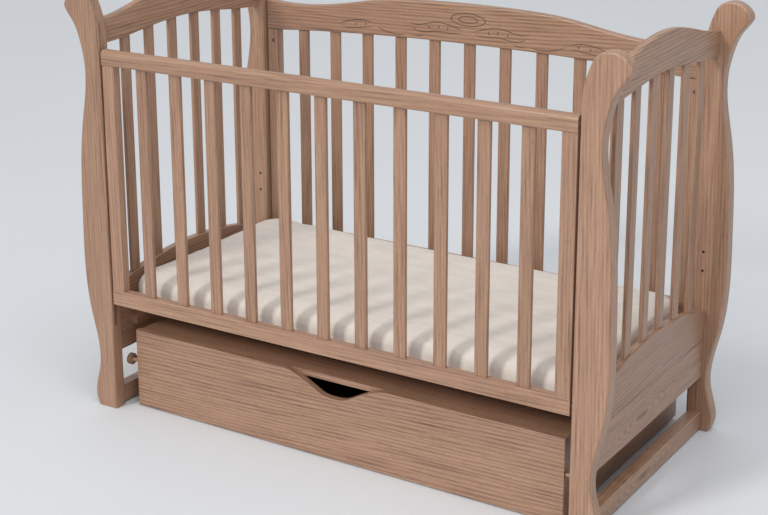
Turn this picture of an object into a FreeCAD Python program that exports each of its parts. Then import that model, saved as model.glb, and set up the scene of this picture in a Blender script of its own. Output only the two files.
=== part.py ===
"""Baby crib with a drop side and an under-bed drawer, in millimetres.

Frame: +X to the right along the crib, +Y to the back, +Z up. The origin is the centre of the
footprint on the floor. Every driving size is a cell of the sheet "Sizes".
"""
import FreeCAD, Part
import math
import os

SIZES = [
    # alias, value, meaning
    ("post_gap", 1200, "inner edge of a left post to inner edge of a right post"),
    ("overall_depth", 664, "front face of the front posts to back face of the back posts"),
    ("post_thickness", 33, "post, front to back"),
    ("post_round", 4.5, "rounding of the posts' curved edges"),
    ("sole_width", 54, "post outline: width on the floor"),
    ("foot_width", 63, "post outline: widest part of the foot"),
    ("foot_height", 28, "post outline: height of the widest part of the foot"),
    ("ankle_width", 48, "post outline: width of the ankle"),
    ("ankle_height", 103, "post outline: height of the ankle"),
    ("belly_width", 78, "post outline: width of the belly"),
    ("belly_height", 480, "post outline: height of the belly"),
    ("waist_width", 46.5, "post outline: width of the waist under the head"),
    ("waist_height", 830, "post outline: height of the waist"),
    ("head_centre_out", 56.5, "post outline: head centre, out from the inner edge"),
    ("head_centre_height", 967.5, "post outline: head centre above the floor"),
    ("head_radius", 43.5, "post outline: radius of the round head"),
    ("end_setback", 15, "inner face of an end panel, out from the posts' inner edge"),
    ("end_thickness", 19, "end boards and end rail"),
    ("end_rail_top_middle", 994, "end rail: crown height"),
    ("end_rail_top_side", 949, "end rail: top edge at the posts"),
    ("end_rail_low_middle", 911, "end rail: lower edge in the middle"),
    ("end_rail_low_side", 889, "end rail: lower edge at the posts"),
    ("end_board_low", 135, "end boards: bottom edge"),
    ("end_board_seam", 227.5, "end boards: seam between the two boards"),
    ("end_board_top_middle", 340, "end boards: crown of the upper board"),
    ("end_board_top_side", 297, "end boards: top edge of the upper board at the posts"),
    ("board_round", 1.6, "rounding of boards and rails"),
    ("end_slat_pitch", 85.7, "spacing of the end slats"),
    ("slat_width", 30, "all slats: width"),
    ("slat_thickness", 10, "all slats: thickness"),
    ("slat_round", 3, "all slats: rounded edges"),
    ("runner_low", 4, "floor runner: height of its underside"),
    ("runner_tall", 42.5, "floor runner: height of the bar"),
    ("runner_width", 30, "floor runner: width"),
    ("runner_standout", 2, "floor runner: its outer face beyond the end boards"),
    ("runner_round", 2.5, "floor runner: rounded edges"),
    ("plug_radius", 6, "wooden screw plugs in the floor runners"),
    ("plug_depth", 5, "depth of the plug holes"),
    ("plug_proud", 0.4, "plug above the runner's face"),
    ("plug_from_post", 41, "plug centre to the post"),
    ("base_hole_radius", 3.5, "spare holes in the posts: radius"),
    ("base_hole_depth", 14, "spare holes in the posts: depth"),
    ("base_hole_low", 391, "spare holes in the posts: height of the lower hole"),
    ("base_hole_pitch", 45, "spare holes in the posts: spacing"),
    ("base_hole_out", 22, "spare holes in the posts: out from the inner edge"),
    ("side_end_gap", 5, "gap between a side panel and the posts"),
    ("side_rail_thickness", 22, "side panels: rails and stiles"),
    ("side_stile_width", 34, "side panels: width of the stiles"),
    ("side_low", 268, "side panels: underside of the bottom rail"),
    ("side_bottom_rail_tall", 36, "side panels: height of the bottom rail"),
    ("side_slat_pitch", 97.4, "side panels: spacing of the slats"),
    ("front_inset", 3, "front panel: its face behind the posts' face"),
    ("handrail_low", 847, "front panel: underside of the handrail"),
    ("handrail_tall", 36, "front panel: height of the handrail"),
    ("handrail_thickness", 26, "front panel: handrail, front to back"),
    ("handrail_round", 11, "front panel: rounded top edges of the handrail"),
    ("front_drop", 70, "front panel: how far it can be lowered, to just above the drawer"),
    ("guide_pin_radius", 4, "front panel: guide pins"),
    ("guide_pin_embed", 15, "front panel: pin length inside the rail"),
    ("guide_pin_reach", 6.5, "front panel: pin length inside the post's groove"),
    ("groove_clearance", 0.5, "front posts: groove side to guide pin"),
    ("groove_end_clearance", 1.5, "front posts: groove ends and floor to guide pin"),
    ("back_rail_low_middle", 848, "back panel: lower edge of the top rail in the middle"),
    ("back_rail_low_side", 829, "back panel: lower edge of the top rail at its ends"),
    ("back_rail_top_middle", 944.5, "back panel: crown of the top rail"),
    ("back_rail_shoulder", 901, "back panel: lowest part of the top rail's shoulders"),
    ("back_rail_tip", 907, "back panel: top edge at the rail's ends"),
    ("back_rail_round", 4, "back panel: rounding of the top rail"),
    ("carving_depth", 1.4, "back panel: depth of the carved lines"),
    ("carving_width", 2.6, "back panel: width of the carved lines"),
    ("carving_height", 907.5, "back panel: centre of the carving"),
    ("bolt_radius", 3, "back panel: connecting bolts"),
    ("bolt_hole_clearance", 0.2, "back panel: bolt hole to bolt"),
    ("bolt_in_post", 30, "back panel: bolt length inside a post"),
    ("bolt_high", 800, "back panel: height of the upper bolts"),
    ("barrel_radius", 5, "back panel: barrel nuts"),
    ("mattress_length", 1194, "mattress"),
    ("mattress_width", 597, "mattress"),
    ("mattress_thickness", 90, "mattress"),
    ("mattress_low", 250, "mattress: underside"),
    ("mattress_round", 18, "mattress: rounding"),
    ("mattress_clearance", 0.3, "mattress above the base slats"),
    ("base_slat_width", 60, "mattress base: slats"),
    ("base_slat_thickness", 12, "mattress base: slats"),
    ("base_slat_pitch", 100, "mattress base: slats"),
    ("base_rail_tall", 25, "mattress base: rails"),
    ("base_rail_width", 30, "mattress base: rails"),
    ("base_clearance", 2, "mattress base: rails to the end boards"),
    ("base_depth", 500, "mattress base: slats and cleats, front to back"),
    ("base_rail_inset", 60, "mattress base: long rails, in from the ends of the slats"),
    ("cleat_tall", 20, "cleats under the mattress base"),
    ("cleat_width", 20, "cleats under the mattress base"),
    ("drawer_length", 1136, "drawer: length of its front"),
    ("drawer_low", 2, "drawer: underside of its front"),
    ("drawer_top", 195, "drawer: top of its front"),
    ("drawer_recess", 46, "drawer: its front behind the posts' face"),
    ("drawer_front_thickness", 18, "drawer: front"),
    ("drawer_wall", 16, "drawer: sides and back"),
    ("drawer_side_inset", 4, "drawer: sides behind the front's ends"),
    ("drawer_side_low", 8, "drawer: underside of the sides and back"),
    ("drawer_back_inset", 2, "drawer: its back before the back posts' face"),
    ("lid_thickness", 13, "drawer: lid"),
    ("lid_below_top", 1.5, "drawer: lid below the top of the front"),
    ("drawer_floor_low", 46, "drawer: underside of its floor"),
    ("drawer_floor_thickness", 6, "drawer: floor"),
    ("cutout_half_length", 135, "drawer: half length of the wave cut-out"),
    ("cutout_deep", 46, "drawer: depth of the wave cut-out"),
    ("knob_radius", 14, "drawer: guide knob's head"),
    ("knob_thickness", 9, "drawer: guide knob's head"),
    ("knob_post_clearance", 3, "drawer: guide knob's head to the posts' inner edge"),
    ("knob_stem_radius", 5, "drawer: guide knob's stem"),
    ("knob_height", 113, "drawer: guide knob's centre"),
    ("wheel_radius", 19, "castors: wheel"),
    ("wheel_width", 14, "castors: wheel"),
    ("wheel_floor_gap", 0.5, "castors: wheel above the floor"),
    ("axle_radius", 3, "castors: axle"),
    ("axle_clearance", 0.05, "castors: wheel bore to axle"),
    ("cheek_thickness", 2, "castors: bracket's cheeks and plate"),
    ("cheek_gap", 1.5, "castors: cheek to wheel"),
    ("castor_from_side", 70, "castors: wheel centre to the drawer's side"),
    ("castor_from_front", 60, "castors: wheel centre to the drawer's front and back"),
]

doc = FreeCAD.newDocument("Crib")
sheet = doc.addObject("Spreadsheet::Sheet", "Sizes")
for row, (alias, value, meaning) in enumerate(SIZES, start=1):
    sheet.set(f"A{row}", alias)
    sheet.set(f"B{row}", str(value))
    sheet.setAlias(f"B{row}", alias)
    sheet.set(f"C{row}", meaning)
doc.recompute()

# Places that several sub-parts share, as expressions of the sheet's cells.
POST_EDGE = "(Sizes.post_gap / 2)"
POST_OUTSIDE = "(Sizes.overall_depth / 2)"
POST_INSIDE = "(Sizes.overall_depth / 2 - Sizes.post_thickness)"
END_IN = "(Sizes.post_gap / 2 + Sizes.end_setback)"
END_OUT = "(Sizes.post_gap / 2 + Sizes.end_setback + Sizes.end_thickness)"
SIDE_HALF = "(Sizes.post_gap / 2 - Sizes.side_end_gap)"
SIDE_RAIL_TOP = "(Sizes.side_low + Sizes.side_bottom_rail_tall)"
SIDE_RAIL_MIDDLE = "(Sizes.side_low + Sizes.side_bottom_rail_tall / 2)"
FRONT_MIDDLE = "(0 - Sizes.overall_depth / 2 + Sizes.front_inset + Sizes.side_rail_thickness / 2)"
BACK_MIDDLE = "(Sizes.overall_depth / 2 - Sizes.side_rail_thickness / 2)"
HANDRAIL_MIDDLE = "(Sizes.handrail_low + Sizes.handrail_tall / 2)"
DRAWER_FACE = "(0 - Sizes.overall_depth / 2 + Sizes.drawer_recess)"
DRAWER_FRONT_IN = f"({DRAWER_FACE} + Sizes.drawer_front_thickness)"
DRAWER_SIDE_OUT = "(Sizes.drawer_length / 2 - Sizes.drawer_side_inset)"
DRAWER_BACK = f"({POST_OUTSIDE} - Sizes.drawer_back_inset)"
LID_LOW = "(Sizes.drawer_top - Sizes.lid_below_top - Sizes.lid_thickness)"
BASE_TOP = "(Sizes.mattress_low - Sizes.mattress_clearance)"
BASE_RAIL_TOP = f"({BASE_TOP} - Sizes.base_slat_thickness)"
BASE_RAIL_LOW = f"({BASE_RAIL_TOP} - Sizes.base_rail_tall)"
BASE_HALF = f"({END_IN} - Sizes.base_clearance)"
WHEEL_HEIGHT = "(Sizes.wheel_radius + Sizes.wheel_floor_gap)"

AXES = {"x": FreeCAD.Vector(1, 0, 0), "y": FreeCAD.Vector(0, 1, 0), "z": FreeCAD.Vector(0, 0, 1)}
TURNED = {
    "x": FreeCAD.Rotation(FreeCAD.Vector(0, 1, 0), 90),
    "y": FreeCAD.Rotation(FreeCAD.Vector(1, 0, 0), -90),
    "z": FreeCAD.Rotation(),
}
NODES = []


def number(expression):
    """The value of an expression of the sheet's cells."""
    return float(sheet.evalExpression(expression))


def node(item, label):
    """Name an object and keep it as one of the crib's sub-parts."""
    item.Label = label
    NODES.append(item)
    return item


def place(item, x, y, z):
    """Tie an object's origin to three expressions."""
    item.setExpression("Placement.Base.x", str(x))
    item.setExpression("Placement.Base.y", str(y))
    item.setExpression("Placement.Base.z", str(z))


def low_end(sign, near, length):
    """The lower coordinate of a stretch that starts at near and runs outward on one side."""
    if sign > 0:
        return near
    return f"(0 - {near} - {length})"


def add_fillet(body, name, edges, radius):
    """Round the given edges of a body's tip."""
    base = body.Tip
    fillet = body.newObject("PartDesign::Fillet", name)
    fillet.Base = (base, edges)
    fillet.setExpression("Radius", radius)
    return fillet


def edges_along(shape, axis):
    """Names of the straight edges that run along an axis."""
    names = []
    for index, edge in enumerate(shape.Edges, start=1):
        if abs(edge.tangentAt(edge.FirstParameter).dot(AXES[axis])) > 0.999:
            names.append(f"Edge{index}")
    return names


def block(label, corner, sides, rounding=None, grain=None):
    """A straight bar or board from its lowest corner, its edges along the grain rounded."""
    body = doc.addObject("PartDesign::Body", label)
    body.Label = label
    box = body.newObject("PartDesign::AdditiveBox", f"{label}_box")
    box.setExpression("Length", sides[0])
    box.setExpression("Width", sides[1])
    box.setExpression("Height", sides[2])
    place(body, *corner)
    if rounding:
        doc.recompute()
        add_fillet(body, f"{label}_rounding", edges_along(box.Shape, grain), rounding)
    return body


def drill(body, name, axis, at, radius, length):
    """Cut a round hole into a body; at is in the body's own frame."""
    hole = body.newObject("PartDesign::SubtractiveCylinder", name)
    hole.setExpression("Radius", radius)
    hole.setExpression("Height", length)
    hole.Placement = FreeCAD.Placement(FreeCAD.Vector(), TURNED[axis])
    place(hole, *at)
    return hole


def rod(name, axis, at, radius, length):
    """A plain round bar that starts at a point and runs along an axis."""
    bar = doc.addObject("Part::Cylinder", name)
    bar.setExpression("Radius", radius)
    bar.setExpression("Height", length)
    bar.Placement = FreeCAD.Placement(FreeCAD.Vector(), TURNED[axis])
    place(bar, *at)
    return bar


def group(label, items):
    """Several separate solids that make one sub-part."""
    compound = doc.addObject("Part::Compound", label)
    compound.Links = items
    return compound


def trimmed(name, base, tool):
    """A shape with another piece's space cut out of it."""
    cut = doc.addObject("Part::Cut", name)
    cut.Base = base
    cut.Tool = tool
    return cut


def curve(points):
    """A smooth curve through points."""
    spline = Part.BSplineCurve()
    spline.interpolate([FreeCAD.Vector(u, v, 0) for u, v in points])
    return spline


def line(first, last):
    """A straight outline edge."""
    return Part.LineSegment(FreeCAD.Vector(*first, 0), FreeCAD.Vector(*last, 0))


def add_sketch(owner, name, role, outline):
    """A sketch on one of a body's origin planes."""
    sketch = owner.newObject("Sketcher::SketchObject", name)
    plane = [item for item in owner.Origin.OriginFeatures if item.Role == role][0]
    sketch.AttachmentSupport = [(plane, "")]
    sketch.MapMode = "FlatFace"
    for edge in outline:
        sketch.addGeometry(edge)
    return sketch


def panel(label, role, outline, thickness, middle, rounding, keep_sharp):
    """A shaped board: an outline padded evenly to both sides of its middle plane.

    Its outline's edges are rounded, except those that keep_sharp picks out.
    """
    body = doc.addObject("PartDesign::Body", label)
    body.Label = label
    sketch = add_sketch(body, f"{label}_outline", role, outline)
    pad = body.newObject("PartDesign::Pad", f"{label}_pad")
    pad.Profile = sketch
    pad.Midplane = True
    pad.setExpression("Length", thickness)
    sketch.Visibility = False
    place(body, *middle)
    doc.recompute()
    flat = {"XZ_Plane": "y", "YZ_Plane": "x"}[role]
    names = []
    for index, edge in enumerate(pad.Shape.Edges, start=1):
        across = abs(edge.tangentAt(edge.FirstParameter).dot(AXES[flat])) > 0.999
        if not across and not keep_sharp(edge):
            names.append(f"Edge{index}")
    add_fillet(body, f"{label}_rounding", names, rounding)
    return body


def on_floor(edge):
    """True for an edge that lies on the floor."""
    return edge.BoundBox.ZMax < 0.01


def upright(edge):
    """True for a straight upright edge."""
    return abs(edge.tangentAt(edge.FirstParameter).z) > 0.999 and edge.Curve.TypeId == "Part::GeomLine"


def between(first, last, share):
    """A value that lies a share of the way from first to last."""
    return first + share * (last - first)


def post_outline(sign):
    """Post seen from the front: straight inner edge, wavy outer edge, round leaning head."""
    sole = number("Sizes.sole_width")
    foot, foot_z = number("Sizes.foot_width"), number("Sizes.foot_height")
    ankle, ankle_z = number("Sizes.ankle_width"), number("Sizes.ankle_height")
    belly, belly_z = number("Sizes.belly_width"), number("Sizes.belly_height")
    waist, waist_z = number("Sizes.waist_width"), number("Sizes.waist_height")
    middle, middle_z = number("Sizes.head_centre_out"), number("Sizes.head_centre_height")
    radius = number("Sizes.head_radius")
    head = [(middle + radius * math.cos(angle), middle_z + radius * math.sin(angle))
            for angle in map(math.radians, (10, 50, 90, 130, 172))]
    neck, neck_z = head[0][0] - waist, head[0][1] - waist_z
    shoulder_z = middle_z - 1.75 * radius
    wave = [
        (sole, 0),
        (foot, foot_z),
        (ankle, ankle_z),
        (between(ankle, belly, 0.60), between(ankle_z, belly_z, 0.37)),
        (belly, belly_z),
        (between(belly, waist, 0.45), between(belly_z, waist_z, 0.62)),
        (waist, waist_z),
        (waist + 0.24 * neck, waist_z + 0.50 * neck_z),
        (waist + 0.56 * neck, waist_z + 0.765 * neck_z),
        (waist + 0.90 * neck, waist_z + 0.925 * neck_z),
        *head,
        (0.22 * head[-1][0], between(shoulder_z, head[-1][1], 0.55)),
        (0, shoulder_z),
        (0, shoulder_z - 1.4 * radius),
    ]
    wave = [(sign * u, v) for u, v in wave]
    return [line((0, 0), wave[0]), curve(wave), line(wave[-1], (0, 0))]


def make_posts():
    """Four wavy posts; the front ones are grooved for the drop side, all have spare holes."""
    for side, sign in (("left", -1), ("right", 1)):
        for row, away in (("front", -1), ("back", 1)):
            label = f"post_{row}_{side}"
            middle_y = f"{away} * ({POST_OUTSIDE} - Sizes.post_thickness / 2)"
            post = panel(label, "XZ_Plane", post_outline(sign), "Sizes.post_thickness",
                         (f"{sign} * {POST_EDGE}", middle_y, "0"), "Sizes.post_round", on_floor)
            inside_y = "(0 - Sizes.post_thickness / 2)"
            if row == "front":
                inside_y = "(Sizes.post_thickness / 2 - Sizes.base_hole_depth)"
            for hole in range(2):
                height = f"Sizes.base_hole_low + {hole} * Sizes.base_hole_pitch"
                drill(post, f"{label}_hole_{hole}", "y", (f"{sign} * Sizes.base_hole_out", inside_y, height),
                      "Sizes.base_hole_radius", "Sizes.base_hole_depth")
            if row == "front":
                cut_groove(post, label, sign, middle_y)
            else:
                drill_bolt_holes(post, label, sign, middle_y)
            node(post, label)


def cut_groove(post, label, sign, middle_y):
    """Groove in a front post's inner edge, in which the drop side's guide pins run."""
    groove = post.newObject("PartDesign::SubtractiveBox", f"{label}_groove")
    deep = "(Sizes.guide_pin_reach + Sizes.groove_end_clearance)"
    wide = "(2 * Sizes.guide_pin_radius + 2 * Sizes.groove_clearance)"
    low = f"({SIDE_RAIL_MIDDLE} - Sizes.front_drop - Sizes.guide_pin_radius - Sizes.groove_end_clearance)"
    high = f"({HANDRAIL_MIDDLE} + Sizes.guide_pin_radius + Sizes.groove_end_clearance)"
    groove.setExpression("Length", deep)
    groove.setExpression("Width", wide)
    groove.setExpression("Height", f"{high} - {low}")
    place(groove, low_end(sign, "0", deep), f"{FRONT_MIDDLE} - {wide} / 2 - ({middle_y})", low)


def drill_bolt_holes(post, label, sign, middle_y):
    """Two holes in a back post's inner edge for the back panel's bolts."""
    for index, height in enumerate((SIDE_RAIL_MIDDLE, "Sizes.bolt_high")):
        at = (low_end(sign, "0", "Sizes.bolt_in_post"), f"{BACK_MIDDLE} - ({middle_y})", height)
        drill(post, f"{label}_bolt_hole_{index}", "x", at,
              "Sizes.bolt_radius + Sizes.bolt_hole_clearance", "Sizes.bolt_in_post")


def arched_outline(half, top, low, landing=0):
    """A board symmetric about its middle; top and low list (share of half, height) from the middle.

    The lower edge is flat for the landing's length at both ends.
    """
    def mirrored(profile, reach):
        right = [(reach * share, height) for share, height in profile]
        left = [(-u, v) for u, v in reversed(right[1:])]
        return left + right

    upper = mirrored(top, half)
    lower = mirrored(low, half - landing)
    tip = low[-1][1]
    edges = [curve(upper), line(upper[-1], (half, tip))]
    if landing:
        edges.append(line((half, tip), lower[-1]))
    if low[0][1] == tip:
        edges.append(line(lower[-1], lower[0]))
    else:
        edges.append(curve(list(reversed(lower))))
    if landing:
        edges.append(line(lower[0], (-half, tip)))
    edges.append(line((-half, tip), upper[0]))
    return edges


def end_rail_outline():
    """End rail: a hump in the middle that flattens towards the posts, arched below."""
    half = number(POST_INSIDE)
    crown, tip = number("Sizes.end_rail_top_middle"), number("Sizes.end_rail_top_side")
    low_crown, low_tip = number("Sizes.end_rail_low_middle"), number("Sizes.end_rail_low_side")
    top = [(0, crown), (0.32, between(crown, tip, 0.18)), (0.62, between(crown, tip, 0.62)),
           (0.86, between(crown, tip, 0.94)), (1, tip)]
    low = [(0, low_crown), (0.35, between(low_crown, low_tip, 0.26)),
           (0.7, between(low_crown, low_tip, 0.77)), (1, low_tip)]
    return arched_outline(half, top, low)


def end_board_outline():
    """Upper end board: flat below, one shallow arch on top."""
    half = number(POST_INSIDE)
    crown, tip = number("Sizes.end_board_top_middle"), number("Sizes.end_board_top_side")
    seam = number("Sizes.end_board_seam")
    top = [(0, crown), (0.5, between(crown, tip, 0.25)), (1, tip)]
    return arched_outline(half, top, [(0, seam), (1, seam)])


def make_end(side, sign):
    """One end: arched rail, six slats, two boards, cleat and floor runner."""
    middle_x = f"{sign} * ({END_IN} + Sizes.end_thickness / 2)"
    rail = panel(f"end_rail_{side}", "YZ_Plane", end_rail_outline(), "Sizes.end_thickness",
                 (middle_x, "0", "0"), "Sizes.back_rail_round", upright)
    upper = panel(f"end_board_upper_{side}", "YZ_Plane", end_board_outline(), "Sizes.end_thickness",
                  (middle_x, "0", "0"), "Sizes.board_round", upright)
    board_x = low_end(sign, END_IN, "Sizes.end_thickness")
    lower = block(f"end_board_lower_{side}", (board_x, f"0 - {POST_INSIDE}", "Sizes.end_board_low"),
                  ("Sizes.end_thickness", f"2 * {POST_INSIDE}", "Sizes.end_board_seam - Sizes.end_board_low"),
                  "Sizes.board_round", "y")
    node(rail, rail.Label)
    node(upper, upper.Label)
    node(lower, lower.Label)

    slats = []
    slat_x = f"{middle_x} - Sizes.slat_thickness / 2"
    slat_low = "(Sizes.end_board_top_side - Sizes.side_bottom_rail_tall / 2)"
    slat_high = "(Sizes.end_rail_low_middle + Sizes.side_bottom_rail_tall / 4)"
    for index in range(6):
        slat_y = f"{index - 2.5} * Sizes.end_slat_pitch - Sizes.slat_width / 2"
        slats.append(block(f"end_slat_{side}_{index + 1}", (slat_x, slat_y, slat_low),
                           ("Sizes.slat_thickness", "Sizes.slat_width", f"{slat_high} - {slat_low}"),
                           "Sizes.slat_round", "z"))
    loose = group(f"end_slats_{side}_long", slats)
    under_rail = trimmed(f"end_slats_{side}_under_rail", loose, rail)
    node(trimmed(f"end_slats_{side}_fitted", under_rail, upper), f"end_slats_{side}")

    cleat_x = low_end(sign, f"({END_IN} - Sizes.cleat_width)", "Sizes.cleat_width")
    cleat = block(f"base_cleat_{side}", (cleat_x, "0 - Sizes.base_depth / 2", f"{BASE_RAIL_LOW} - Sizes.cleat_tall"),
                  ("Sizes.cleat_width", "Sizes.base_depth", "Sizes.cleat_tall"), "Sizes.board_round", "y")
    node(cleat, cleat.Label)
    make_runner(side, sign)


def make_runner(side, sign):
    """Floor runner between a front and a back post, with a plugged screw near each post."""
    runner_in = f"({END_OUT} + Sizes.runner_standout - Sizes.runner_width)"
    runner_x = low_end(sign, runner_in, "Sizes.runner_width")
    runner = block(f"end_runner_{side}", (runner_x, f"0 - {POST_INSIDE}", "Sizes.runner_low"),
                   ("Sizes.runner_width", f"2 * {POST_INSIDE}", "Sizes.runner_tall"), "Sizes.runner_round", "y")
    plugs = []
    for index, away in enumerate((-1, 1)):
        plug_y = f"{away} * ({POST_INSIDE} - Sizes.plug_from_post)"
        inside = "(Sizes.runner_width - Sizes.plug_depth)" if sign > 0 else "0"
        drill(runner, f"end_runner_{side}_plug_hole_{index}", "x",
              (inside, f"{plug_y} + {POST_INSIDE}", "Sizes.runner_tall / 2"), "Sizes.plug_radius", "Sizes.plug_depth")
        plug_in = f"({runner_in} + Sizes.runner_width - Sizes.plug_depth)"
        plug_long = "(Sizes.plug_depth + Sizes.plug_proud)"
        plug_x = low_end(sign, plug_in, plug_long)
        plugs.append(rod(f"plug_{side}_{index}", "x", (plug_x, plug_y, "Sizes.runner_low + Sizes.runner_tall / 2"),
                         "Sizes.plug_radius", plug_long))
    node(runner, runner.Label)
    node(group(f"runner_plugs_{side}", plugs), f"runner_plugs_{side}")


def side_slat(label, index, middle_y, high):
    """One of the eleven upright slats of a long side."""
    slat_x = f"{index - 5} * Sizes.side_slat_pitch - Sizes.slat_width / 2"
    return block(label, (slat_x, f"{middle_y} - Sizes.slat_thickness / 2", SIDE_RAIL_TOP),
                 ("Sizes.slat_width", "Sizes.slat_thickness", f"{high} - {SIDE_RAIL_TOP}"), "Sizes.slat_round", "z")


def side_stile(label, sign, middle_y, high):
    """An end upright of a long side."""
    stile_x = low_end(sign, f"({SIDE_HALF} - Sizes.side_stile_width)", "Sizes.side_stile_width")
    return block(label, (stile_x, f"{middle_y} - Sizes.side_rail_thickness / 2", SIDE_RAIL_TOP),
                 ("Sizes.side_stile_width", "Sizes.side_rail_thickness", f"{high} - {SIDE_RAIL_TOP}"),
                 "Sizes.board_round", "z")


def bottom_rail(label, middle_y):
    """The straight bottom rail of a long side."""
    return block(label, (f"0 - {SIDE_HALF}", f"{middle_y} - Sizes.side_rail_thickness / 2", "Sizes.side_low"),
                 (f"2 * {SIDE_HALF}", "Sizes.side_rail_thickness", "Sizes.side_bottom_rail_tall"),
                 "Sizes.board_round", "x")


def make_front():
    """Drop side: handrail, bottom rail, two stiles, eleven slats and four guide pins."""
    handrail = block("front_handrail_bar", (f"0 - {SIDE_HALF}", f"{FRONT_MIDDLE} - Sizes.handrail_thickness / 2",
                                            "Sizes.handrail_low"),
                     (f"2 * {SIDE_HALF}", "Sizes.handrail_thickness", "Sizes.handrail_tall"))
    doc.recompute()
    shape = handrail.Tip.Shape
    upper = [name for name in edges_along(shape, "x") if shape.getElement(name).BoundBox.ZMin > 1]
    add_fillet(handrail, "front_handrail_top", upper, "Sizes.handrail_round")
    doc.recompute()
    shape = handrail.Tip.Shape
    lower = [name for name in edges_along(shape, "x") if shape.getElement(name).BoundBox.ZMax < 1]
    add_fillet(handrail, "front_handrail_under", lower, "Sizes.slat_round")
    rail = bottom_rail("front_bottom_bar", FRONT_MIDDLE)

    pin_in = f"({SIDE_HALF} - Sizes.guide_pin_embed)"
    pin_long = "(Sizes.guide_pin_embed + Sizes.side_end_gap + Sizes.guide_pin_reach)"
    rows = {}
    for level, height in (("low", SIDE_RAIL_MIDDLE), ("high", HANDRAIL_MIDDLE)):
        rows[level] = [rod(f"guide_pin_{level}_{index}", "x", (low_end(sign, pin_in, pin_long), FRONT_MIDDLE, height),
                           "Sizes.guide_pin_radius", pin_long) for index, sign in enumerate((-1, 1))]
    low_pins = group("guide_pins_low", rows["low"])
    high_pins = group("guide_pins_high", rows["high"])
    node(trimmed("front_handrail_drilled", handrail, high_pins), "front_handrail")
    node(trimmed("front_bottom_rail_drilled", rail, low_pins), "front_bottom_rail")
    node(group("front_guide_pins", rows["low"] + rows["high"]), "front_guide_pins")
    for side, sign in (("left", -1), ("right", 1)):
        label = f"front_stile_{side}"
        node(side_stile(label, sign, FRONT_MIDDLE, "Sizes.handrail_low"), label)
    for index in range(11):
        label = f"front_slat_{index + 1:02d}"
        node(side_slat(label, index, FRONT_MIDDLE, "Sizes.handrail_low"), label)


def back_rail_outline():
    """Back top rail: a long crown between lower shoulders, slightly arched below."""
    half = number(SIDE_HALF)
    crown, shoulder = number("Sizes.back_rail_top_middle"), number("Sizes.back_rail_shoulder")
    low_crown, low_tip = number("Sizes.back_rail_low_middle"), number("Sizes.back_rail_low_side")
    top = [(0, crown), (0.215, between(crown, shoulder, 0.045)), (0.42, between(crown, shoulder, 0.24)),
           (0.62, between(crown, shoulder, 0.72)), (0.82, shoulder), (1, number("Sizes.back_rail_tip"))]
    low = [(0, low_crown), (0.5, between(low_crown, low_tip, 0.22)), (1, low_tip)]
    return arched_outline(half, top, low, number("Sizes.side_stile_width"))


def carved_stroke(points):
    """A carved line that starts and ends in a point and swells to its full width between."""
    half = number("Sizes.carving_width") / 2
    left, right = [points[0]], [points[0]]
    for before, here, after in zip(points, points[1:], points[2:]):
        along = FreeCAD.Vector(after[0] - before[0], after[1] - before[1], 0).normalize()
        left.append((here[0] - half * along.y, here[1] + half * along.x))
        right.append((here[0] + half * along.y, here[1] - half * along.x))
    left.append(points[-1])
    right.append(points[-1])
    return [curve(left), curve(list(reversed(right)))]


def carved_oval(wide, tall, middle_z):
    """A carved oval ring: two ellipses, one inside the other."""
    width = number("Sizes.carving_width")
    centre = FreeCAD.Vector(0, middle_z, 0)
    return [Part.Ellipse(centre, wide, tall), Part.Ellipse(centre, wide - width, tall - width)]


def make_carving():
    """Plain ornament of the back rail: a double oval with leaves and tendrils to both sides."""
    middle = number("Sizes.carving_height")
    outline = carved_oval(48, 16.5, middle) + carved_oval(27, 9, middle)
    strokes = [
        [(14, -29), (48, -18), (92, -14), (132, -23), (166, -21)],
        [(19, -34), (48, -37), (88, -36), (128, -41), (160, -28)],
        [(58, -21), (55, -26), (60, -32)],
        [(86, -19), (80, -25), (85, -31)],
        [(113, -23), (107, -28), (112, -34)],
        [(120, -47), (140, -52), (158, -50)],
        [(168, -50), (204, -54), (236, -49), (260, -40)],
        [(266, -35), (300, -28), (340, -33), (372, -43)],
        [(268, -42), (298, -46), (336, -51), (366, -49)],
        [(296, -33), (291, -37), (296, -41)],
        [(326, -36), (321, -40), (326, -45)],
    ]
    for sign in (-1, 1):
        for stroke in strokes:
            outline += carved_stroke([(sign * u, middle + v) for u, v in stroke])
    sketch = doc.addObject("Sketcher::SketchObject", "carving_lines")
    sketch.Placement = FreeCAD.Placement(FreeCAD.Vector(), FreeCAD.Rotation(FreeCAD.Vector(1, 0, 0), 90))
    for edge in outline:
        sketch.addGeometry(edge)
    carving = doc.addObject("Part::Extrusion", "carving")
    carving.Base = sketch
    carving.DirMode = "Custom"
    carving.Dir = AXES["y"]
    carving.FaceMakerClass = "Part::FaceMakerBullseye"
    carving.Solid = True
    carving.Symmetric = True
    carving.setExpression("LengthFwd", "2 * Sizes.carving_depth")
    carving.setExpression("Placement.Base.y", f"{BACK_MIDDLE} - Sizes.side_rail_thickness / 2")
    return carving


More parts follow.
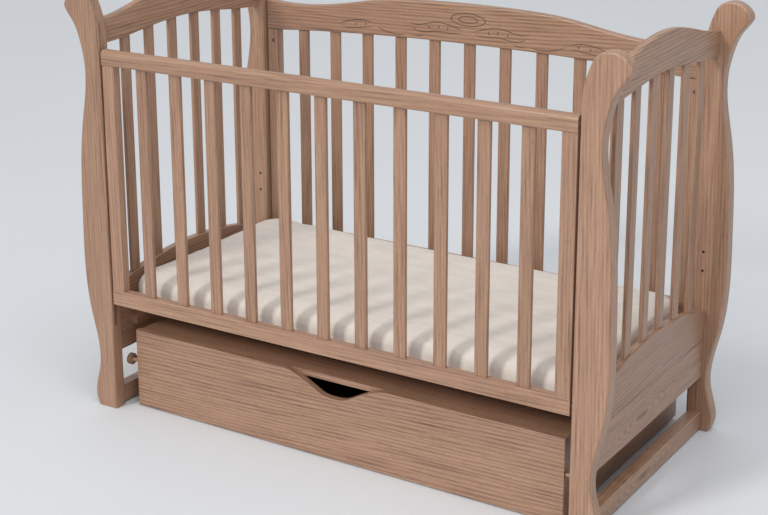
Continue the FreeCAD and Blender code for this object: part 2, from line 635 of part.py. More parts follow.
def make_back():
    """Back panel: carved top rail, bottom rail, two stiles, eleven slats and its bolts."""
    blank = panel("back_top_blank", "XZ_Plane", back_rail_outline(), "Sizes.side_rail_thickness",
                  ("0", BACK_MIDDLE, "0"), "Sizes.back_rail_round", upright)
    node(trimmed("back_top_carved", blank, make_carving()), "back_top_rail")
    rail = bottom_rail("back_bottom_rail", BACK_MIDDLE)
    slat_top = "(Sizes.back_rail_low_middle + Sizes.side_bottom_rail_tall / 3)"
    slats = group("back_slats_long", [side_slat(f"back_slat_{index + 1}", index, BACK_MIDDLE, slat_top)
                                      for index in range(11)])
    bolts, barrels = [], []
    bolt_hole = "Sizes.bolt_radius + Sizes.bolt_hole_clearance"
    bolt_inside = "(Sizes.side_stile_width / 2)"
    bolt_in = f"({SIDE_HALF} - {bolt_inside})"
    bolt_long = f"({bolt_inside} + Sizes.side_end_gap + Sizes.bolt_in_post - Sizes.bolt_hole_clearance)"
    for side, sign in (("left", -1), ("right", 1)):
        label = f"back_stile_{side}"
        stile = side_stile(label, sign, BACK_MIDDLE, "Sizes.back_rail_low_side")
        hole_x = "(Sizes.side_stile_width / 2)" if sign > 0 else "0"
        drill(stile, f"{label}_bolt_hole", "x", (hole_x, "Sizes.side_rail_thickness / 2",
                                                 f"Sizes.bolt_high - {SIDE_RAIL_TOP}"), bolt_hole, bolt_inside)
        drill(stile, f"{label}_barrel_hole", "y", ("Sizes.side_stile_width / 2", "0",
                                                   f"Sizes.bolt_high - {SIDE_RAIL_TOP}"),
              "Sizes.barrel_radius", "Sizes.side_rail_thickness")
        node(stile, label)
        rail_hole_x = f"(2 * {SIDE_HALF} - {bolt_inside})" if sign > 0 else "0"
        drill(rail, f"back_rail_bolt_hole_{side}", "x", (rail_hole_x, "Sizes.side_rail_thickness / 2",
                                                         "Sizes.side_bottom_rail_tall / 2"), bolt_hole, bolt_inside)
        for index, height in enumerate((SIDE_RAIL_MIDDLE, "Sizes.bolt_high")):
            bolts.append(rod(f"bolt_{side}_{index}", "x", (low_end(sign, bolt_in, bolt_long), BACK_MIDDLE, height),
                             "Sizes.bolt_radius", bolt_long))
        barrels.append(rod(f"barrel_{side}", "y", (f"{sign} * {bolt_in}",
                                                   f"{BACK_MIDDLE} - Sizes.side_rail_thickness / 2", "Sizes.bolt_high"),
                           "Sizes.barrel_radius", "Sizes.side_rail_thickness"))
    node(rail, "back_bottom_rail")
    node(trimmed("back_slats_fitted", slats, blank), "back_slats")
    bolt_group = group("back_panel_bolts", bolts)
    node(bolt_group, "back_panel_bolts")
    node(trimmed("barrel_nuts_drilled", group("barrel_nuts", barrels), bolt_group), "back_barrel_nuts")


def make_base():
    """Mattress base: two long rails, two end rails and slats across them."""
    rail_size = (f"2 * {BASE_HALF}", "Sizes.base_rail_width", "Sizes.base_rail_tall")
    long_y = "(Sizes.base_depth / 2 - Sizes.base_rail_inset - Sizes.base_rail_width)"
    for row, sign in (("front", -1), ("back", 1)):
        label = f"base_rail_{row}"
        corner = (f"0 - {BASE_HALF}", low_end(sign, long_y, "Sizes.base_rail_width"), BASE_RAIL_LOW)
        node(block(label, corner, rail_size, "Sizes.board_round", "x"), label)
    for side, sign in (("left", -1), ("right", 1)):
        label = f"base_rail_{side}"
        corner = (low_end(sign, f"({BASE_HALF} - Sizes.base_rail_width)", "Sizes.base_rail_width"),
                  f"0 - {long_y}", BASE_RAIL_LOW)
        node(block(label, corner, ("Sizes.base_rail_width", f"2 * {long_y}", "Sizes.base_rail_tall"),
                   "Sizes.board_round", "y"), label)
    slats = []
    for index in range(12):
        corner = (f"{index - 5.5} * Sizes.base_slat_pitch - Sizes.base_slat_width / 2",
                  "0 - Sizes.base_depth / 2", BASE_RAIL_TOP)
        slats.append(block(f"base_slat_{index + 1}", corner,
                           ("Sizes.base_slat_width", "Sizes.base_depth", "Sizes.base_slat_thickness"),
                           "Sizes.slat_round", "y"))
    node(group("base_slats", slats), "base_slats")


def make_mattress():
    """The mattress as one plain rounded block."""
    corner = ("0 - Sizes.mattress_length / 2", "0 - Sizes.mattress_width / 2", "Sizes.mattress_low")
    sides = ("Sizes.mattress_length", "Sizes.mattress_width", "Sizes.mattress_thickness")
    mattress = block("mattress", corner, sides, "Sizes.mattress_round", "z")
    doc.recompute()
    shape = mattress.Tip.Shape
    top = shape.BoundBox.ZMax
    rim = [f"Edge{index}" for index, edge in enumerate(shape.Edges, start=1) if edge.BoundBox.ZMin > top - 0.01]
    add_fillet(mattress, "mattress_rim", rim, "Sizes.mattress_round - 1")
    node(mattress, "mattress")


def drawer_front_outline():
    """Drawer front with a wave-shaped finger cut-out in its top edge."""
    half = number("Sizes.drawer_length / 2")
    low, top = number("Sizes.drawer_low"), number("Sizes.drawer_top")
    reach, deep = number("Sizes.cutout_half_length"), number("Sizes.cutout_deep")
    wave = [(1, 0), (0.74, 0.19), (0.43, 0.62), (0.16, 0.97), (0, 1)]
    right = [(reach * share, top - deep * drop) for share, drop in wave]
    left = [(-u, v) for u, v in reversed(right[:-1])]
    return [
        line((-half, low), (half, low)),
        line((half, low), (half, top)),
        line((half, top), right[0]),
        curve(right + left),
        line(left[-1], (-half, top)),
        line((-half, top), (-half, low)),
    ]


def make_drawer():
    """Drawer: wave-cut front, sides, back, floor, lid and a guide knob at each end."""
    front = panel("drawer_front", "XZ_Plane", drawer_front_outline(), "Sizes.drawer_front_thickness",
                  ("0", f"{DRAWER_FACE} + Sizes.drawer_front_thickness / 2", "0"), "Sizes.board_round",
                  on_floor)
    node(front, "drawer_front")
    side_in = f"({DRAWER_SIDE_OUT} - Sizes.drawer_wall)"
    wall_tall = f"{LID_LOW} - Sizes.drawer_side_low"
    for side, sign in (("left", -1), ("right", 1)):
        label = f"drawer_side_{side}"
        node(block(label, (low_end(sign, side_in, "Sizes.drawer_wall"), DRAWER_FRONT_IN, "Sizes.drawer_side_low"),
                   ("Sizes.drawer_wall", f"{DRAWER_BACK} - {DRAWER_FRONT_IN}", wall_tall)), label)
    node(block("drawer_back", (f"0 - {side_in}", f"{DRAWER_BACK} - Sizes.drawer_wall", "Sizes.drawer_side_low"),
               (f"2 * {side_in}", "Sizes.drawer_wall", wall_tall)), "drawer_back")
    node(block("drawer_floor", (f"0 - {side_in}", DRAWER_FRONT_IN, "Sizes.drawer_floor_low"),
               (f"2 * {side_in}", f"{DRAWER_BACK} - Sizes.drawer_wall - {DRAWER_FRONT_IN}",
                "Sizes.drawer_floor_thickness")), "drawer_floor")
    node(block("drawer_lid", (f"0 - {DRAWER_SIDE_OUT}", DRAWER_FRONT_IN, LID_LOW),
               (f"2 * {DRAWER_SIDE_OUT}", f"{DRAWER_BACK} - {DRAWER_FRONT_IN}", "Sizes.lid_thickness")), "drawer_lid")

    knobs = []
    knob_y = f"{DRAWER_FACE} + Sizes.drawer_front_thickness / 2"
    head_in = f"({POST_EDGE} - Sizes.knob_post_clearance - Sizes.knob_thickness)"
    stem_long = f"({head_in} - Sizes.drawer_length / 2)"
    for side, sign in (("left", -1), ("right", 1)):
        head = rod(f"knob_head_{side}", "x", (low_end(sign, head_in, "Sizes.knob_thickness"), knob_y,
                                              "Sizes.knob_height"), "Sizes.knob_radius", "Sizes.knob_thickness")
        stem = rod(f"knob_stem_{side}", "x", (low_end(sign, "(Sizes.drawer_length / 2)", stem_long), knob_y,
                                              "Sizes.knob_height"), "Sizes.knob_stem_radius", stem_long)
        knob = doc.addObject("Part::Fuse", f"knob_{side}")
        knob.Base = head
        knob.Tool = stem
        knobs.append(knob)
    node(group("drawer_guide_knobs", knobs), "drawer_guide_knobs")


def make_castors():
    """Four fixed castors under the drawer's floor."""
    brackets, axles = [], []
    reach = "(Sizes.wheel_width / 2 + Sizes.cheek_gap + Sizes.cheek_thickness)"
    from_side = f"({DRAWER_SIDE_OUT} - Sizes.drawer_wall - Sizes.castor_from_side)"
    rows = (("front", f"({DRAWER_FRONT_IN} + Sizes.castor_from_front)"),
            ("back", f"({DRAWER_BACK} - Sizes.drawer_wall - Sizes.castor_from_front)"))
    plate_low = "(Sizes.drawer_floor_low - Sizes.cheek_thickness)"
    for side, sign in (("left", -1), ("right", 1)):
        for row, middle_y in rows:
            name = f"{row}_{side}"
            middle_x = f"{sign} * {from_side}"
            axle = rod(f"axle_{name}", "x", (f"{middle_x} - {reach}", middle_y, WHEEL_HEIGHT),
                       "Sizes.axle_radius", f"2 * {reach}")
            axles.append(axle)
            parts = []
            plate = doc.addObject("Part::Box", f"castor_plate_{name}")
            plate.setExpression("Length", f"2 * {reach}")
            plate.setExpression("Width", "2 * Sizes.wheel_radius")
            plate.setExpression("Height", "Sizes.cheek_thickness")
            place(plate, f"{middle_x} - {reach}", f"{middle_y} - Sizes.wheel_radius", plate_low)
            parts.append(plate)
            for cheek_name, cheek_x in (("a", f"{middle_x} - {reach}"),
                                        ("b", f"{middle_x} + {reach} - Sizes.cheek_thickness")):
                cheek = doc.addObject("Part::Box", f"castor_cheek_{name}_{cheek_name}")
                cheek.setExpression("Length", "Sizes.cheek_thickness")
                cheek.setExpression("Width", "Sizes.wheel_radius")
                cheek.setExpression("Height", f"{plate_low} - {WHEEL_HEIGHT} + 2 * Sizes.axle_radius")
                place(cheek, cheek_x, f"{middle_y} - Sizes.wheel_radius / 2",
                      f"{WHEEL_HEIGHT} - 2 * Sizes.axle_radius")
                parts.append(cheek)
            fused = doc.addObject("Part::MultiFuse", f"castor_{name}")
            fused.Shapes = parts
            brackets.append(trimmed(f"castor_bracket_{name}", fused, axle))
            node(make_wheel(name, middle_x, middle_y), f"castor_wheel_{name}")
    node(group("castor_brackets", brackets), "castor_brackets")
    node(group("castor_axles", axles), "castor_axles")


def make_wheel(name, middle_x, middle_y):
    """A castor wheel with a bore and softened rims."""
    wheel = doc.addObject("PartDesign::Body", f"wheel_{name}")
    disc = wheel.newObject("PartDesign::AdditiveCylinder", f"wheel_disc_{name}")
    disc.setExpression("Radius", "Sizes.wheel_radius")
    disc.setExpression("Height", "Sizes.wheel_width")
    disc.Placement = FreeCAD.Placement(FreeCAD.Vector(), TURNED["x"])
    disc.setExpression("Placement.Base.x", "0 - Sizes.wheel_width / 2")
    place(wheel, middle_x, middle_y, WHEEL_HEIGHT)
    doc.recompute()
    rims = [f"Edge{index}" for index, edge in enumerate(disc.Shape.Edges, start=1)
            if edge.Curve.TypeId == "Part::GeomCircle"]
    add_fillet(wheel, f"wheel_rims_{name}", rims, "Sizes.cheek_thickness")
    drill(wheel, f"wheel_bore_{name}", "x", ("0 - Sizes.wheel_width", "0", "0"),
          "Sizes.axle_radius + Sizes.axle_clearance", "2 * Sizes.wheel_width")
    return wheel


def check_document():
    """Stop if any object failed or any sub-part has no valid shape."""
    doc.recompute()
    for item in doc.Objects:
        if "Invalid" in item.State or "Error" in item.State:
            raise RuntimeError(f"{item.Label} failed: {item.State} {item.getStatusString()}")
    labels = [item.Label for item in NODES]
    if len(set(labels)) != len(labels):
        raise RuntimeError("two sub-parts share a name")
    faulty = [item.Label for item in NODES
              if item.Shape.isNull() or not item.Shape.isValid() or not item.Shape.Solids]
    if faulty:
        raise RuntimeError(f"no valid solid: {faulty}")


make_posts()
make_end("left", -1)
make_end("right", 1)
make_front()
make_back()
make_base()
make_mattress()
make_drawer()
make_castors()
check_document()

os.makedirs("parts", exist_ok=True)
for item in NODES:
    item.Shape.exportStep(f"parts/{item.Label}.step")
print(f"{len(NODES)} sub-parts, {sum(len(item.Shape.Solids) for item in NODES)} solids")
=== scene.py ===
import math

import bmesh
import bpy
from mathutils import Matrix, Vector, noise


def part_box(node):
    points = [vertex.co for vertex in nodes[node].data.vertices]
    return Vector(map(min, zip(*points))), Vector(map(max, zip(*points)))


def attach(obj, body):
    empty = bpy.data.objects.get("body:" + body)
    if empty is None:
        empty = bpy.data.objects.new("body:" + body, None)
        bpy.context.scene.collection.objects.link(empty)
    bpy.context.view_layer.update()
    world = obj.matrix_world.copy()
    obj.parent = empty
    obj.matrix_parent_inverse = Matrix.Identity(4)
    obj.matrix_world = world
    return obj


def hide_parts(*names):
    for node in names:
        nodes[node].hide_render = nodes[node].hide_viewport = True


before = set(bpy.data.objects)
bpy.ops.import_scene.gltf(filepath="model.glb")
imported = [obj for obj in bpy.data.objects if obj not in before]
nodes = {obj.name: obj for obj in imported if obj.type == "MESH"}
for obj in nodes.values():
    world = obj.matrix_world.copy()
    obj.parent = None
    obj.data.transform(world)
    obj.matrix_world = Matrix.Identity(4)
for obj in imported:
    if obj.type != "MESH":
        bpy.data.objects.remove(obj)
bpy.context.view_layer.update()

# Colours, linear
WOOD_LIGHT = (0.43, 0.245, 0.140)
WOOD_MIDDLE = (0.335, 0.175, 0.096)
WOOD_DARK = (0.13, 0.055, 0.030)
# Painted shade for the carved grooves of the back top rail
CARVED_PAINTED_SHADE = (0.07, 0.028, 0.016)
WOOD_RED = (0.40, 0.215, 0.15)
WOOD_WORN = (0.55, 0.36, 0.26)
BOARD_LIGHT = (0.36, 0.23, 0.14)
STEEL = (0.52, 0.52, 0.53)
STEEL_DARK = (0.16, 0.14, 0.13)
CLOTH_LIGHT = (0.80, 0.73, 0.66)
CLOTH_DARK = (0.66, 0.585, 0.515)
FLOOR_COLOUR = (0.74, 0.755, 0.775)

# Wood grain: patterns per metre across the grain, and lengths in metres
RING_SCALE = 74.0
STREAK_SCALE = 190.0
PORE_SCALE = 900.0
WORN_RADIUS = 0.0022
# how far the painted shade in the carved grooves reaches
CARVED_SHADE_REACH = 0.006
WEAVE_SCALE = 210.0          # of the mattress cover

# Mattress, metres
MATTRESS_CORNER = 0.045      # radius of the corners, seen from above
MATTRESS_SHRINK = 0.009      # how much smaller the form starts on each side, before it swells
MATTRESS_VOXEL = 0.009
MATTRESS_EDGE = 0.024        # radius of the rounded top and bottom edges
SWELL_CAP = 0.010            # the furthest that a point of the cover may swell
SEAM_DEPTH = 0.0016
SEAM_HALF_WIDTH = 0.004

GRAIN_TURNS = {"x": (0, math.pi / 2, 0), "y": (math.pi / 2, 0, 0), "z": (0, 0, 0)}


# ---------------------------------------------------------------- materials

class Graph:
    """A material's node tree, built call by call."""

    def __init__(self, name):
        self.material = bpy.data.materials.new(name)
        self.material.use_nodes = True
        self.tree = self.material.node_tree
        self.shader = self.tree.nodes["Principled BSDF"]
        self.where = self.add("ShaderNodeTexCoord").outputs["Object"]

    def add(self, kind, inputs=None, **settings):
        made = self.tree.nodes.new(kind)
        for key, value in settings.items():
            setattr(made, key, value)
        for key, value in (inputs or {}).items():
            self.put(made.inputs[key], value)
        return made

    def put(self, socket, value):
        if isinstance(value, bpy.types.NodeSocket):
            self.tree.links.new(value, socket)
        else:
            socket.default_value = value

    def mapped(self, turn=(0, 0, 0), scale=(1, 1, 1), move=(0, 0, 0)):
        turned = self.add("ShaderNodeMapping", {0: self.where, "Rotation": turn, "Location": move})
        return self.add("ShaderNodeMapping", {0: turned.outputs[0], "Scale": scale}).outputs[0]

    def noise(self, vector, scale, detail=4.0, rough=0.55, distort=0.0):
        return self.add("ShaderNodeTexNoise", {"Vector": vector, "Scale": scale, "Detail": detail,
                                               "Roughness": rough, "Distortion": distort}).outputs[0]

    def math(self, operation, first, second=0.0, third=0.0):
        return self.add("ShaderNodeMath", {0: first, 1: second, 2: third}, operation=operation).outputs[0]

    def spread(self, value, low, high, out_low=0.0, out_high=1.0):
        return self.add("ShaderNodeMapRange", {0: value, 1: low, 2: high, 3: out_low, 4: out_high}).outputs[0]

    def ramp(self, value, stops):
        made = self.add("ShaderNodeValToRGB", {0: value})
        ramp = made.color_ramp
        while len(ramp.elements) < len(stops):
            ramp.elements.new(0.5)
        for element, (place, colour) in zip(ramp.elements, stops):
            element.position, element.color = place, (*colour, 1)
        return made.outputs[0]

    def blend(self, share, first, second):
        made = self.add("ShaderNodeMix", data_type="RGBA")
        for index, value in ((0, share), (6, first), (7, second)):
            self.put(made.inputs[index], value if not isinstance(value, tuple) else (*value, 1))
        return made.outputs[2]

    def worn_edges(self, radius):
        """About 1 on rounded and sharp edges, and 0 on flat faces."""
        soft = self.add("ShaderNodeBevel", {"Radius": radius}, samples=4).outputs[0]
        true = self.add("ShaderNodeNewGeometry").outputs["Normal"]
        dot = self.add("ShaderNodeVectorMath", {0: soft, 1: true}, operation="DOT_PRODUCT")
        return self.spread(dot.outputs["Value"], 0.98, 0.80)

    def finish(self, colour, roughness, bump, strength, distance, **constants):
        self.put(self.shader.inputs["Base Color"], colour)
        self.put(self.shader.inputs["Roughness"], roughness)
        raised = self.add("ShaderNodeBump", {"Height": bump, "Strength": strength, "Distance": distance})
        self.put(self.shader.inputs["Normal"], raised.outputs[0])
        for key, value in constants.items():
            self.shader.inputs[key.replace("_", " ")].default_value = value
        return self.material


def wood(name, grain, seed, figure=0.35, knot=None, tone=1.0, carved=False):
    """Lacquered hardwood with its grain along one axis: rings, streaks, pores and paler worn edges.
    knot is a place in metres that the rings bend round. A carved piece gets painted shade in its hollows,
    darkened by ambient occlusion."""
    g = Graph(name)
    turn = GRAIN_TURNS[grain]
    move = (seed * 0.37 % 1.9, seed * 0.53 % 2.3, seed * 0.71 % 1.7)
    slow = g.mapped(turn, (1, 1, 0.16), move)
    fine = g.mapped(turn, (1, 1, 0.035), move)
    wander = g.noise(slow, 5.0, 2.0)
    rings_vector = g.add("ShaderNodeVectorMath", {0: fine, 1: g.add(
        "ShaderNodeVectorMath", {0: (0.022, 0.022, 0.0), 3: wander}, operation="SCALE").outputs[0]},
        operation="ADD").outputs[0]
    rings = g.add("ShaderNodeTexWave", {"Vector": rings_vector, "Scale": RING_SCALE, "Distortion": 4.5,
                                        "Detail": 3.0, "Detail Scale": 0.7, "Detail Roughness": 0.55},
                  wave_type="BANDS", bands_direction="DIAGONAL").outputs[1]
    streaks = g.noise(fine, STREAK_SCALE, 5.0, 0.62, 0.25)
    broad = g.noise(fine, 34.0, 3.0, 0.5)
    pores = g.noise(g.mapped(turn, (1, 1, 0.055), move), PORE_SCALE, 2.0, 0.5)
    pore = g.spread(pores, 0.60, 0.70)
    value = g.math("MULTIPLY_ADD", rings, figure * 0.55, g.math("MULTIPLY", streaks, 1.0 - figure * 0.55))
    value = g.math("ADD", value, g.math("MULTIPLY", g.math("SUBTRACT", broad, 0.5), 0.28))
    if knot:
        away = g.add("ShaderNodeVectorMath", {0: g.where, 1: knot[0]}, operation="SUBTRACT").outputs[0]
        away = g.add("ShaderNodeVectorMath", {0: away, 1: knot[1]}, operation="MULTIPLY").outputs[0]
        far = g.add("ShaderNodeVectorMath", {0: away}, operation="LENGTH").outputs["Value"]
        bent = g.math("MULTIPLY_ADD", g.noise(slow, 9.0, 2.0), 0.012, far)
        loops = g.math("SINE", g.math("MULTIPLY", bent, 900.0))
        near = g.spread(far, 0.045, 0.004)
        value = g.math("ADD", value, g.math("MULTIPLY", g.math("MULTIPLY", loops, near), 0.14))
        value = g.math("SUBTRACT", value, g.spread(far, 0.007, 0.003, 0.0, 0.45))
    colour = g.ramp(value, [(0.22, WOOD_DARK), (0.46, WOOD_MIDDLE), (0.66, WOOD_LIGHT), (0.9, WOOD_LIGHT)])
    colour = g.blend(g.math("MULTIPLY", pore, 0.55), colour, WOOD_DARK)
    patch = g.noise(g.mapped((0, 0, 0), (1, 1, 1), move), 3.2, 2.0)
    colour = g.blend(g.spread(patch, 0.3, 0.7, 0.0, 0.30), colour, WOOD_RED)
    edge = g.worn_edges(WORN_RADIUS)
    colour = g.blend(g.math("MULTIPLY", edge, 0.22), colour, WOOD_WORN)
    if carved:
        # painted shade: ambient occlusion darkens the carved grooves towards a dark brown
        hollow_shade = g.add("ShaderNodeAmbientOcclusion", {"Distance": CARVED_SHADE_REACH}, only_local=True, samples=8)
        colour = g.blend(g.spread(hollow_shade.outputs["AO"], 0.9, 0.55, 0.0, 0.75), colour, CARVED_PAINTED_SHADE)
    tint = g.add("ShaderNodeHueSaturation", {"Hue": 0.5, "Saturation": 0.94, "Value": tone, "Color": colour})
    roughness = g.math("ADD", g.spread(streaks, 0.3, 0.7, 0.33, 0.46), g.math("MULTIPLY", pore, 0.16))
    height = g.math("SUBTRACT", g.math("MULTIPLY", streaks, 0.5), g.math("MULTIPLY", pore, 0.8))
    return g.finish(tint.outputs[0], roughness, height, 0.22, 0.0005,
                    Coat_Weight=0.22, Coat_Roughness=0.28, Specular_IOR_Level=0.5)


def thin_board(name, seed):
    """Plain pressed board with a faint speckle."""
    g = Graph(name)
    speck = g.noise(g.mapped((0, 0, 0), (1, 1, 1), (seed, 0, 0)), 420.0, 6.0, 0.7)
    cloud = g.noise(g.where, 6.0, 3.0)
    colour = g.ramp(g.math("MULTIPLY_ADD", cloud, 0.3, g.math("MULTIPLY", speck, 0.7)),
                    [(0.3, WOOD_MIDDLE), (0.7, BOARD_LIGHT)])
    return g.finish(colour, g.spread(speck, 0.3, 0.7, 0.48, 0.62), speck, 0.15, 0.0004)


def metal(name, colour):
    """Plated steel with fine turning marks and duller spots."""
    g = Graph(name)
    marks = g.noise(g.mapped((0, 0, 0), (1, 1, 14)), 300.0, 3.0)
    spots = g.noise(g.where, 70.0, 4.0)
    shade = g.ramp(spots, [(0.3, tuple(0.6 * c for c in colour)), (0.7, colour)])
    shade = g.blend(g.math("MULTIPLY", g.worn_edges(0.0006), 0.5), shade, (0.8, 0.8, 0.8))
    return g.finish(shade, g.spread(spots, 0.3, 0.7, 0.24, 0.46), marks, 0.12, 0.0002, Metallic=1.0)


def plastic(name):
    """Dark moulded castor plastic with a fine texture and dusty edges."""
    g = Graph(name)
    fine = g.noise(g.where, 1500.0, 2.0)
    dust = g.noise(g.where, 45.0, 4.0)
    colour = g.ramp(dust, [(0.35, (0.030, 0.030, 0.032)), (0.75, (0.075, 0.072, 0.068))])
    colour = g.blend(g.math("MULTIPLY", g.worn_edges(0.0012), 0.5), colour, (0.16, 0.155, 0.15))
    return g.finish(colour, g.spread(dust, 0.3, 0.7, 0.45, 0.65), fine, 0.2, 0.0003)


def cloth(name):
    """Off-white cotton cover with a plain weave, slubs and a soft sheen."""
    g = Graph(name)
    across, along, upright = (
        g.add("ShaderNodeTexWave", {"Vector": g.where, "Scale": WEAVE_SCALE, "Distortion": 0.6},
              wave_type="BANDS", bands_direction=axis).outputs[1] for axis in "XYZ")
    weave = g.math("ADD", g.math("ADD", across, along), upright)
    slubs = g.noise(g.mapped((0, 0, 0), (0.12, 1, 1)), 260.0, 4.0)
    cloud = g.noise(g.where, 5.0, 3.0)
    value = g.math("MULTIPLY_ADD", slubs, 0.4, g.math("MULTIPLY", cloud, 0.35))
    value = g.math("MULTIPLY_ADD", weave, 0.14, value)
    colour = g.ramp(value, [(0.25, CLOTH_DARK), (0.62, CLOTH_LIGHT)])
    return g.finish(colour, g.spread(slubs, 0.3, 0.7, 0.80, 0.93), g.math("MULTIPLY_ADD", slubs, 0.8, weave),
                    0.25, 0.0004, Sheen_Weight=0.25, Sheen_Roughness=0.5, Specular_IOR_Level=0.2)


# ---------------------------------------------------------------- the carried-over CAD parts

# A knot on these pieces: its place in metres, and how the distance to it is scaled on each axis
KNOTS = {
    "end_board_lower_right": ((0.634, -0.046, 0.171), (0.3, 0.22, 1.0)),
    "end_runner_right": ((0.636, -0.032, 0.026), (0.3, 0.22, 1.0)),
}
BOARD_NODES = ("drawer_floor",)
STEEL_NODES = ("back_panel_bolts", "back_barrel_nuts", "castor_brackets", "castor_axles", "front_guide_pins")
GRAIN_X = ("front_handrail", "front_bottom_rail", "back_top_rail", "back_bottom_rail", "base_rail_front",
           "base_rail_back", "drawer_front", "drawer_back", "drawer_lid", "drawer_guide_knobs")
GRAIN_Y = ("end_rail", "end_board", "end_runner", "base_cleat", "base_rail_left", "base_rail_right",
           "base_slats", "drawer_side", "runner_plugs")
FIGURED = ("end_board", "drawer_front", "drawer_lid", "back_top_rail", "end_rail")


def cad_material(node, seed):
    """The finish of one CAD node, by what it is and which way its grain runs."""
    if node.startswith("castor_wheel"):
        return plastic("look_" + node)
    if node in STEEL_NODES:
        dark = node == "back_barrel_nuts"
        return metal("look_" + node, STEEL_DARK if dark else STEEL)
    if node in BOARD_NODES:
        return thin_board("look_" + node, seed)
    grain = "x" if node.startswith(GRAIN_X) else "y" if node.startswith(GRAIN_Y) else "z"
    figure = 0.42 if node.startswith(FIGURED) else 0.22
    tone = 0.93 + 0.13 * ((seed * 7) % 10) / 10
    return wood("look_" + node, grain, seed, figure, KNOTS.get(node), tone, node == "back_top_rail")


for seed, name in enumerate(sorted(nodes)):
    look = cad_material(name, seed)
    if nodes[name].material_slots:
        for held in nodes[name].material_slots:
            held.material = look
    else:
        nodes[name].data.materials.append(look)


# ---------------------------------------------------------------- mattress

def rounded_outline(half_x, half_y, radius, steps=10):
    """Points round a rectangle with round corners, anticlockwise."""
    points = []
    for sign_x, sign_y, start in ((1, -1, -90), (1, 1, 0), (-1, 1, 90), (-1, -1, 180)):
        for step in range(steps + 1):
            angle = math.radians(start + 90 * step / steps)
            points.append((sign_x * (half_x - radius) + radius * math.cos(angle),
                           sign_y * (half_y - radius) + radius * math.sin(angle)))
    return points


def mattress_form(low, high):
    """A closed form with round corners and rounded edges, a little smaller than the CAD pad."""
    half_x = (high.x - low.x) / 2 - MATTRESS_SHRINK
    half_y = (high.y - low.y) / 2 - MATTRESS_SHRINK
    bottom, top = low.z + 0.002, high.z - MATTRESS_SHRINK
    edge = MATTRESS_EDGE
    rings = [(bottom, edge * 0.7), (bottom + edge * 0.3, edge * 0.2), (bottom + edge, 0.0),
             (top - edge, 0.0), (top - edge * 0.4, edge * 0.2), (top - edge * 0.1, edge * 0.55), (top, edge)]
    mesh = bmesh.new()
    loops = []
    for height, inward in rings:
        outline = rounded_outline(half_x - inward, half_y - inward, MATTRESS_CORNER - inward * 0.5)
        loops.append([mesh.verts.new((x, y, height)) for x, y in outline])
    for lower, upper in zip(loops, loops[1:]):
        for index in range(len(lower)):
            after = (index + 1) % len(lower)
            mesh.faces.new((lower[index], lower[after], upper[after], upper[index]))
    mesh.faces.new(list(reversed(loops[0])))
    mesh.faces.new(loops[-1])
    data = bpy.data.meshes.new("mattress_cover")
    mesh.to_mesh(data)
    mesh.free()
    made = bpy.data.objects.new("mattress_cover", data)
    bpy.context.scene.collection.objects.link(made)
    return made


def apply_modifiers(thing):
    """Makes the modifiers' result the mesh."""
    bpy.context.view_layer.objects.active = thing
    for modifier in list(thing.modifiers):
        bpy.ops.object.modifier_apply(modifier=modifier.name)


def swell(pad, low):
    """Inflates the pad as sewn cloth and keeps the result, with each point's travel capped."""
    start = [v.co.copy() for v in pad.data.vertices]
    modifier = pad.modifiers.new("swell", "CLOTH")
    settings = modifier.settings
    settings.quality = 4
    settings.mass = 0.4
    settings.tension_stiffness = settings.compression_stiffness = 25
    settings.shear_stiffness = 12
    settings.bending_stiffness = 2.5
    settings.use_pressure = True
    settings.uniform_pressure_force = 4
    settings.effector_weights.gravity = 0
    modifier.collision_settings.use_collision = False
    for step in range(1, 21):
        bpy.context.scene.frame_set(step)
    apply_modifiers(pad)
    for vertex, old in zip(pad.data.vertices, start):
        travel = vertex.co - old
        if travel.length > SWELL_CAP:
            vertex.co = old + travel.normalized() * SWELL_CAP
        vertex.co.z = max(vertex.co.z, low.z + 0.0005)
    bpy.context.scene.frame_set(1)


def sew_and_crease(pad, low, high):
    """Presses in the border seams and the fold lines of a soft cover."""
    seams = (low.z + 0.020, high.z - 0.024)
    for vertex in pad.data.vertices:
        place = vertex.co
        side = abs(vertex.normal.z) < 0.75
        if side:
            near = min(abs(place.z - seam) for seam in seams)
            if near < SEAM_HALF_WIDTH:
                depth = SEAM_DEPTH * (1 - near / SEAM_HALF_WIDTH)
                place -= vertex.normal * depth
            pucker = noise.noise(Vector((place.x * 26, place.y * 26, 3.1)))
            place += vertex.normal * 0.0016 * pucker
        elif vertex.normal.z > 0:
            fold = noise.noise(Vector((place.x * 5, place.y * 30, 7.7)))
            wave = noise.noise(Vector((place.x * 3.2, place.y * 7, 1.3)))
            place.z += 0.0022 * fold + 0.0030 * wave - 0.0015
        place.z = min(place.z, high.z + 0.004)


low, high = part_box("mattress")
pad = mattress_form(low, high)
remesh = pad.modifiers.new("even", "REMESH")
remesh.mode = "VOXEL"
remesh.voxel_size = MATTRESS_VOXEL
apply_modifiers(pad)
swell(pad, low)
sew_and_crease(pad, low, high)
finer = pad.modifiers.new("finer", "SUBSURF")
finer.levels = finer.render_levels = 1
apply_modifiers(pad)
pad.data.polygons.foreach_set("use_smooth", [True] * len(pad.data.polygons))
pad.data.materials.append(cloth("look_mattress_cover"))
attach(pad, "frame")
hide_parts("mattress")


# ---------------------------------------------------------------- floor, light and camera

def floor():
    """A plain pale floor, just under the object."""
    half = 30.0
    data = bpy.data.meshes.new("floor")
    data.from_pydata([(-half, -half, -0.0005), (half, -half, -0.0005), (half, half, -0.0005),
                      (-half, half, -0.0005)], [], [(0, 1, 2, 3)])
    made = bpy.data.objects.new("floor", data)
    bpy.context.scene.collection.objects.link(made)
    g = Graph("look_floor")
    cloud = g.noise(g.where, 0.8, 2.0)
    colour = g.ramp(cloud, [(0.3, tuple(0.985 * c for c in FLOOR_COLOUR)), (0.7, FLOOR_COLOUR)])
    data.materials.append(g.finish(colour, g.spread(cloud, 0.3, 0.7, 0.55, 0.62), cloud, 0.02, 0.001,
                                   Specular_IOR_Level=0.3))


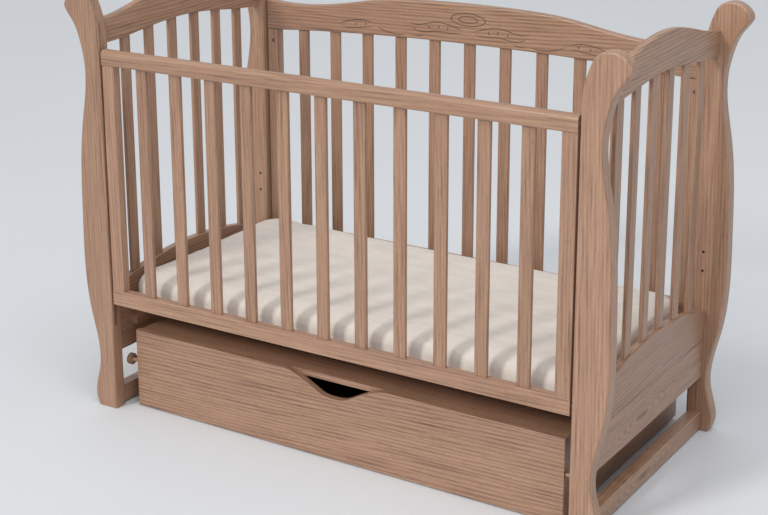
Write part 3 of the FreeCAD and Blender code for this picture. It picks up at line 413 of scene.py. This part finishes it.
def aim(thing, direction):
    """Turns a light to shine along a direction."""
    thing.rotation_euler = Vector(direction).to_track_quat("-Z", "Y").to_euler()


def sun(name, direction, strength, angle, colour):
    light = bpy.data.lights.new(name, "SUN")
    light.energy, light.angle, light.color = strength, math.radians(angle), colour
    made = bpy.data.objects.new(name, light)
    aim(made, direction)
    bpy.context.scene.collection.objects.link(made)


def area(name, place, target, power, size, colour):
    light = bpy.data.lights.new(name, "AREA")
    light.energy, light.size, light.color = power, size, colour
    made = bpy.data.objects.new(name, light)
    made.location = place
    aim(made, Vector(target) - Vector(place))
    bpy.context.scene.collection.objects.link(made)


def sky(colour, strength):
    world = bpy.data.worlds.new("studio")
    bpy.context.scene.world = world
    world.use_nodes = True
    background = world.node_tree.nodes["Background"]
    background.inputs[0].default_value = (*colour, 1)
    background.inputs[1].default_value = strength


def camera():
    """The camera at the photograph's angle: place, heading, tilt and lean, and a small shift."""
    heading, tilt, lean = math.radians(32.66), math.radians(15.6), math.radians(-0.26)
    forward = Vector((-math.sin(heading) * math.cos(tilt),
                      math.cos(heading) * math.cos(tilt), -math.sin(tilt)))
    level = Vector((math.cos(heading), math.sin(heading), 0))
    up = level.cross(forward)
    right = level * math.cos(lean) + up * math.sin(lean)
    up = up * math.cos(lean) - level * math.sin(lean)
    data = bpy.data.cameras.new("camera")
    data.lens, data.sensor_width = 74.55, 36.0
    data.shift_x, data.shift_y = 0.0182, -0.12
    data.clip_end = 200
    made = bpy.data.objects.new("camera", data)
    turn = Matrix((right, up, -forward)).transposed().to_4x4()
    made.matrix_world = Matrix.Translation((1.8312, -2.9852, 1.5978)) @ turn
    bpy.context.scene.collection.objects.link(made)
    bpy.context.scene.camera = made


floor()
sky((0.93, 0.965, 1.0), 0.62)
sun("key", (0.35, 1.0, -0.62), 1.25, 12.0, (1.0, 0.97, 0.93))
area("fill", (1.2, -1.6, 4.2), (0, 0, 0.4), 70.0, 3.0, (0.95, 0.97, 1.0))
camera()
bpy.context.scene.view_settings.view_transform = "Standard"
